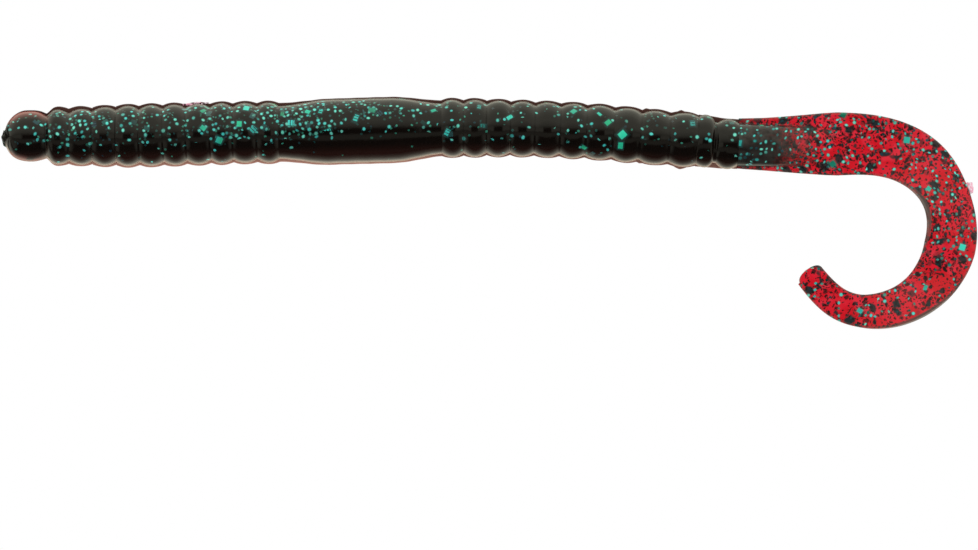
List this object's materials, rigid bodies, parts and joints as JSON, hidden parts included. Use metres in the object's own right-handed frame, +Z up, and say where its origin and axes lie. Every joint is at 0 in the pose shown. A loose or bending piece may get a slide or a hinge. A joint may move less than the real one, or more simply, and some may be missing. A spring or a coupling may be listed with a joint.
{
  "type": "soft plastic worm",
  "caption": "Soft plastic fishing worm with a ringed two-tone body, a smooth saddle and a flat ribbon tail that curls; it flexes along its whole length.",
  "frame": {"origin": "middle of the trimmed gate's face on the nose, on the parting plane between the back and the belly", "axes": "+X from the nose towards the tail along the body, +Z up through the back, and the ribbon tail lies flat in the XY plane and curls towards -Y"},
  "size_m": [0.1449, 0.0343, 0.0095],
  "materials": {
    "back_plastisol": "glossy translucent near-black plastisol with teal glitter",
    "belly_plastisol": "glossy translucent dark red plastisol with teal, blue and black glitter",
    "ribbon_plastisol": "glossy translucent red plastisol with black and teal glitter"
  },
  "bodies": {
    "head": {"head_back": "back_plastisol", "head_belly": "belly_plastisol", "nose_gate": "back_plastisol"},
    "front_ring_01": {"front_ring_01_back": "back_plastisol", "front_ring_01_belly": "belly_plastisol"},
    "front_ring_02": {"front_ring_02_back": "back_plastisol", "front_ring_02_belly": "belly_plastisol"},
    "front_ring_03": {"front_ring_03_back": "back_plastisol", "front_ring_03_belly": "belly_plastisol"},
    "front_ring_04": {"front_ring_04_back": "back_plastisol", "front_ring_04_belly": "belly_plastisol"},
    "front_ring_05": {"front_ring_05_back": "back_plastisol", "front_ring_05_belly": "belly_plastisol"},
    "front_ring_06": {"front_ring_06_back": "back_plastisol", "front_ring_06_belly": "belly_plastisol"},
    "front_ring_07": {"front_ring_07_back": "back_plastisol", "front_ring_07_belly": "belly_plastisol"},
    "front_ring_08": {"front_ring_08_back": "back_plastisol", "front_ring_08_belly": "belly_plastisol"},
    "front_ring_09": {"front_ring_09_back": "back_plastisol", "front_ring_09_belly": "belly_plastisol"},
    "front_ring_10": {"front_ring_10_back": "back_plastisol", "front_ring_10_belly": "belly_plastisol"},
    "saddle": {"saddle_back": "back_plastisol", "saddle_belly": "belly_plastisol"},
    "rear_ring_01": {"rear_ring_01_back": "back_plastisol", "rear_ring_01_belly": "belly_plastisol"},
    "rear_ring_02": {"rear_ring_02_back": "back_plastisol", "rear_ring_02_belly": "belly_plastisol"},
    "rear_ring_03": {"rear_ring_03_back": "back_plastisol", "rear_ring_03_belly": "belly_plastisol"},
    "rear_ring_04": {"rear_ring_04_back": "back_plastisol", "rear_ring_04_belly": "belly_plastisol"},
    "rear_ring_05": {"rear_ring_05_back": "back_plastisol", "rear_ring_05_belly": "belly_plastisol"},
    "rear_ring_06": {"rear_ring_06_back": "back_plastisol", "rear_ring_06_belly": "belly_plastisol"},
    "rear_ring_07": {"rear_ring_07_back": "back_plastisol", "rear_ring_07_belly": "belly_plastisol"},
    "rear_ring_08": {"rear_ring_08_back": "back_plastisol", "rear_ring_08_belly": "belly_plastisol"},
    "rear_ring_09": {"rear_ring_09_back": "back_plastisol", "rear_ring_09_belly": "belly_plastisol"},
    "rear_ring_10": {"rear_ring_10_back": "back_plastisol", "rear_ring_10_belly": "belly_plastisol"},
    "rear_ring_11": {"rear_ring_11_back": "back_plastisol", "rear_ring_11_belly": "belly_plastisol"},
    "rear_ring_12": {"rear_ring_12_back": "back_plastisol", "rear_ring_12_belly": "belly_plastisol"},
    "tail_root": {"tail_root_back": "back_plastisol", "tail_root_belly": "belly_plastisol"},
    "ribbon_01": {"ribbon_01": "ribbon_plastisol"},
    "ribbon_02": {"ribbon_02": "ribbon_plastisol"},
    "ribbon_03": {"ribbon_03": "ribbon_plastisol"},
    "ribbon_04": {"ribbon_04": "ribbon_plastisol"},
    "ribbon_05": {"ribbon_05": "ribbon_plastisol"},
    "ribbon_06": {"ribbon_06": "ribbon_plastisol"},
    "ribbon_07": {"ribbon_07": "ribbon_plastisol"},
    "ribbon_08": {"ribbon_08": "ribbon_plastisol"}
  },
  "joints": [
    {"name": "front_sway_1", "type": "hinge", "parent": "saddle", "child": "front_ring_10", "pos_m": [0.03945, 0.00103, 0], "axis": [0.002, 0.001, 1], "range_deg": [-12, 12], "stiffness_Nm_per_rad": 0.004},
    {"name": "front_sway_2", "type": "hinge", "parent": "front_ring_09", "child": "front_ring_08", "pos_m": [0.03249, 0.00091, 0], "axis": [0.002, 0.001, 1], "range_deg": [-12, 12], "stiffness_Nm_per_rad": 0.004},
    {"name": "front_sway_3", "type": "hinge", "parent": "front_ring_07", "child": "front_ring_06", "pos_m": [0.02554, 0.0007, 0], "axis": [0.002, 0.001, 1], "range_deg": [-12, 12], "stiffness_Nm_per_rad": 0.004},
    {"name": "front_sway_4", "type": "hinge", "parent": "front_ring_05", "child": "front_ring_04", "pos_m": [0.01858, 0.00053, 0], "axis": [0.002, 0.001, 1], "range_deg": [-12, 12], "stiffness_Nm_per_rad": 0.004},
    {"name": "front_sway_5", "type": "hinge", "parent": "front_ring_03", "child": "front_ring_02", "pos_m": [0.01162, 0.00046, 0], "axis": [0.002, 0.001, 1], "range_deg": [-12, 12], "stiffness_Nm_per_rad": 0.003},
    {"name": "front_sway_6", "type": "hinge", "parent": "front_ring_01", "child": "head", "pos_m": [0.00466, 0.00044, 0], "axis": [0.002, 0.001, 1], "range_deg": [-12, 12], "stiffness_Nm_per_rad": 0.00022},
    {"name": "front_lift_1", "type": "hinge", "parent": "front_ring_10", "child": "front_ring_09", "pos_m": [0.03597, 0.00099, 0], "axis": [0.0161, -0.9999, 0], "range_deg": [-12, 12], "stiffness_Nm_per_rad": 0.004},
    {"name": "front_lift_2", "type": "hinge", "parent": "front_ring_08", "child": "front_ring_07", "pos_m": [0.02902, 0.00081, 0], "axis": [0.0319, -0.9995, 0], "range_deg": [-12, 12], "stiffness_Nm_per_rad": 0.004},
    {"name": "front_lift_3", "type": "hinge", "parent": "front_ring_06", "child": "front_ring_05", "pos_m": [0.02206, 0.0006, 0], "axis": [0.0258, -0.9997, 0], "range_deg": [-12, 12], "stiffness_Nm_per_rad": 0.004},
    {"name": "front_lift_4", "type": "hinge", "parent": "front_ring_04", "child": "front_ring_03", "pos_m": [0.0151, 0.00049, 0], "axis": [0.0084, -1, 0], "range_deg": [-12, 12], "stiffness_Nm_per_rad": 0.004},
    {"name": "front_lift_5", "type": "hinge", "parent": "front_ring_02", "child": "front_ring_01", "pos_m": [0.00814, 0.00045, 0], "axis": [0.0041, -1, 0], "range_deg": [-12, 12], "stiffness_Nm_per_rad": 0.0012},
    {"name": "rear_sway_1", "type": "hinge", "parent": "saddle", "child": "rear_ring_01", "pos_m": [0.06338, 0.00162, 0], "axis": [0.002, 0.001, 1], "range_deg": [-12, 12], "stiffness_Nm_per_rad": 0.004},
    {"name": "rear_sway_2", "type": "hinge", "parent": "rear_ring_02", "child": "rear_ring_03", "pos_m": [0.07009, 0.00168, 0], "axis": [0.002, 0.001, 1], "range_deg": [-12, 12], "stiffness_Nm_per_rad": 0.004},
    {"name": "rear_sway_3", "type": "hinge", "parent": "rear_ring_04", "child": "rear_ring_05", "pos_m": [0.07715, 0.00157, 0], "axis": [0.002, 0.001, 1], "range_deg": [-12, 12], "stiffness_Nm_per_rad": 0.004},
    {"name": "rear_sway_4", "type": "hinge", "parent": "rear_ring_06", "child": "rear_ring_07", "pos_m": [0.08467, 0.00129, 0], "axis": [0.002, 0.001, 1], "range_deg": [-12, 12], "stiffness_Nm_per_rad": 0.004},
    {"name": "rear_sway_5", "type": "hinge", "parent": "rear_ring_08", "child": "rear_ring_09", "pos_m": [0.09263, 0.00068, 0], "axis": [0.002, 0.001, 1], "range_deg": [-12, 12], "stiffness_Nm_per_rad": 0.004},
    {"name": "rear_sway_6", "type": "hinge", "parent": "rear_ring_10", "child": "rear_ring_11", "pos_m": [0.10105, -0.00004, 0], "axis": [0.002, 0.001, 1], "range_deg": [-12, 12], "stiffness_Nm_per_rad": 0.004},
    {"name": "rear_lift_1", "type": "hinge", "parent": "rear_ring_01", "child": "rear_ring_02", "pos_m": [0.06673, 0.00167, 0], "axis": [0.0088, -1, 0], "range_deg": [-12, 12], "stiffness_Nm_per_rad": 0.004},
    {"name": "rear_lift_2", "type": "hinge", "parent": "rear_ring_03", "child": "rear_ring_04", "pos_m": [0.07356, 0.00165, 0], "axis": [-0.0154, -0.9999, 0], "range_deg": [-12, 12], "stiffness_Nm_per_rad": 0.004},
    {"name": "rear_lift_3", "type": "hinge", "parent": "rear_ring_05", "child": "rear_ring_06", "pos_m": [0.08086, 0.00146, 0], "axis": [-0.0374, -0.9993, 0], "range_deg": [-12, 12], "stiffness_Nm_per_rad": 0.004},
    {"name": "rear_lift_4", "type": "hinge", "parent": "rear_ring_07", "child": "rear_ring_08", "pos_m": [0.0886, 0.00104, 0], "axis": [-0.077, -0.997, 0], "range_deg": [-12, 12], "stiffness_Nm_per_rad": 0.004},
    {"name": "rear_lift_5", "type": "hinge", "parent": "rear_ring_09", "child": "rear_ring_10", "pos_m": [0.09678, 0.0003, 0], "axis": [-0.0856, -0.9963, 0], "range_deg": [-12, 12], "stiffness_Nm_per_rad": 0.004},
    {"name": "rear_lift_6", "type": "hinge", "parent": "rear_ring_11", "child": "rear_ring_12", "pos_m": [0.10456, -0.00029, 0], "axis": [-0.0675, -0.9977, 0], "range_deg": [-12, 12], "stiffness_Nm_per_rad": 0.004},
    {"name": "tail_twist_1", "type": "hinge", "parent": "rear_ring_12", "child": "tail_root", "pos_m": [0.10761, -0.00048, 0], "axis": [0.9985, -0.0544, 0], "range_deg": [-60, 60], "stiffness_Nm_per_rad": 0.002},
    {"name": "tail_flap_1", "type": "hinge", "parent": "tail_root", "child": "ribbon_01", "pos_m": [0.12329, -0.00063, 0], "axis": [0.0529, -0.9986, 0], "range_deg": [-25, 25], "stiffness_Nm_per_rad": 0.002},
    {"name": "tail_flap_2", "type": "hinge", "parent": "ribbon_04", "child": "ribbon_05", "pos_m": [0.14065, -0.01607, 0], "axis": [-0.9708, 0.2399, 0], "range_deg": [-25, 25], "stiffness_Nm_per_rad": 0.002},
    {"name": "tail_uncurl_1", "type": "hinge", "parent": "ribbon_01", "child": "ribbon_02", "pos_m": [0.13018, -0.00097, 0], "axis": [0.002, 0.001, 1], "range_deg": [-4, 30], "stiffness_Nm_per_rad": 0.0005},
    {"name": "tail_uncurl_2", "type": "hinge", "parent": "ribbon_02", "child": "ribbon_03", "pos_m": [0.13647, -0.00361, 0], "axis": [0.002, 0.001, 1], "range_deg": [-4, 30], "stiffness_Nm_per_rad": 0.0005},
    {"name": "tail_uncurl_3", "type": "hinge", "parent": "ribbon_03", "child": "ribbon_04", "pos_m": [0.14033, -0.00924, 0], "axis": [0.002, 0.001, 1], "range_deg": [-4, 30], "stiffness_Nm_per_rad": 0.0005},
    {"name": "tail_uncurl_4", "type": "hinge", "parent": "ribbon_05", "child": "ribbon_06", "pos_m": [0.13732, -0.02204, 0], "axis": [0.002, 0.001, 1], "range_deg": [-4, 30], "stiffness_Nm_per_rad": 0.0005},
    {"name": "tail_uncurl_5", "type": "hinge", "parent": "ribbon_06", "child": "ribbon_07", "pos_m": [0.13131, -0.02527, 0], "axis": [0.002, 0.001, 1], "range_deg": [-4, 30], "stiffness_Nm_per_rad": 0.0005},
    {"name": "tail_uncurl_6", "type": "hinge", "parent": "ribbon_07", "child": "ribbon_08", "pos_m": [0.12453, -0.02456, 0], "axis": [0.002, 0.001, 1], "range_deg": [-4, 30], "stiffness_Nm_per_rad": 0.00013}
  ],
  "couplings": [
    {"joint": "front_sway_2", "follows": "front_sway_1", "ratio": 1},
    {"joint": "front_sway_3", "follows": "front_sway_1", "ratio": 1},
    {"joint": "front_sway_4", "follows": "front_sway_1", "ratio": 1},
    {"joint": "front_sway_5", "follows": "front_sway_1", "ratio": 1},
    {"joint": "front_sway_6", "follows": "front_sway_1", "ratio": 1},
    {"joint": "front_lift_2", "follows": "front_lift_1", "ratio": 1},
    {"joint": "front_lift_3", "follows": "front_lift_1", "ratio": 1},
    {"joint": "front_lift_4", "follows": "front_lift_1", "ratio": 1},
    {"joint": "front_lift_5", "follows": "front_lift_1", "ratio": 1},
    {"joint": "rear_sway_2", "follows": "rear_sway_1", "ratio": 1},
    {"joint": "rear_sway_3", "follows": "rear_sway_1", "ratio": 1},
    {"joint": "rear_sway_4", "follows": "rear_sway_1", "ratio": 1},
    {"joint": "rear_sway_5", "follows": "rear_sway_1", "ratio": 1},
    {"joint": "rear_sway_6", "follows": "rear_sway_1", "ratio": 1},
    {"joint": "rear_lift_2", "follows": "rear_lift_1", "ratio": 1},
    {"joint": "rear_lift_3", "follows": "rear_lift_1", "ratio": 1},
    {"joint": "rear_lift_4", "follows": "rear_lift_1", "ratio": 1},
    {"joint": "rear_lift_5", "follows": "rear_lift_1", "ratio": 1},
    {"joint": "rear_lift_6", "follows": "rear_lift_1", "ratio": 1},
    {"joint": "tail_flap_2", "follows": "tail_flap_1", "ratio": 1},
    {"joint": "tail_uncurl_2", "follows": "tail_uncurl_1", "ratio": 1},
    {"joint": "tail_uncurl_3", "follows": "tail_uncurl_1", "ratio": 1},
    {"joint": "tail_uncurl_4", "follows": "tail_uncurl_1", "ratio": 1},
    {"joint": "tail_uncurl_5", "follows": "tail_uncurl_1", "ratio": 1},
    {"joint": "tail_uncurl_6", "follows": "tail_uncurl_1", "ratio": 1}
  ]
}
